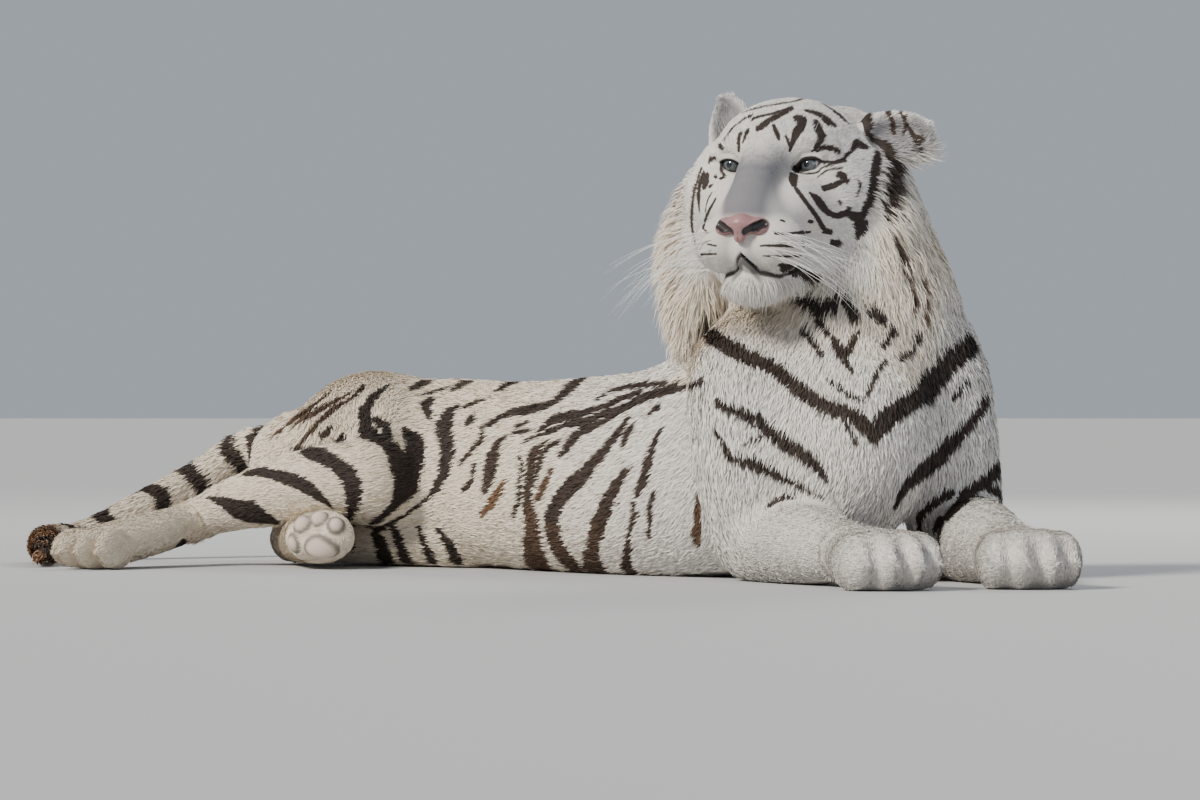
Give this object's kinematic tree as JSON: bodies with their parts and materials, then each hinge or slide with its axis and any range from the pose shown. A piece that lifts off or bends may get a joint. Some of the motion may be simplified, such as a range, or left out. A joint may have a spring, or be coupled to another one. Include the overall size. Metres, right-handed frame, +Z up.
{
  "type": "white tiger",
  "caption": "Life-size white tiger lying on its side, chest raised on its elbows, head up and turned, with a striped coat, a neck ruff and a long tail laid round behind its hind feet.",
  "frame": {"origin": "on the floor under the middle of the whole animal's box", "axes": "+X from the hindquarters towards the forequarters, along the longer side of the animal's box; -Y the way the chest, belly and paws face; +Z up"},
  "size_m": [1.6116, 1.5892, 0.7248],
  "materials": {
    "coat": "short dense fur, creamy white with brown-black stripes",
    "nose_leather": "bare, pebbled, slightly moist",
    "eye": "wet, pale blue-grey iris, round dark pupil"
  },
  "bodies": {
    "root": {"chest": "coat", "ear_left": "coat", "ear_right": "coat", "eye_left": "eye", "eye_right": "eye", "forearm_left": "coat", "forearm_right": "coat", "forepaw_left": "coat", "forepaw_right": "coat", "head": "coat", "hind_foot_left": "coat", "hind_foot_right": "coat", "hips": "coat", "loin": "coat", "neck": "coat", "nose": "nose_leather", "shank_left": "coat", "shank_right": "coat", "shoulder_left": "coat", "shoulder_right": "coat", "tail_end": "coat", "tail_middle": "coat", "tail_root": "coat", "tail_tip": "coat", "thigh_left": "coat", "thigh_right": "coat"}
  },
  "joints": []
}
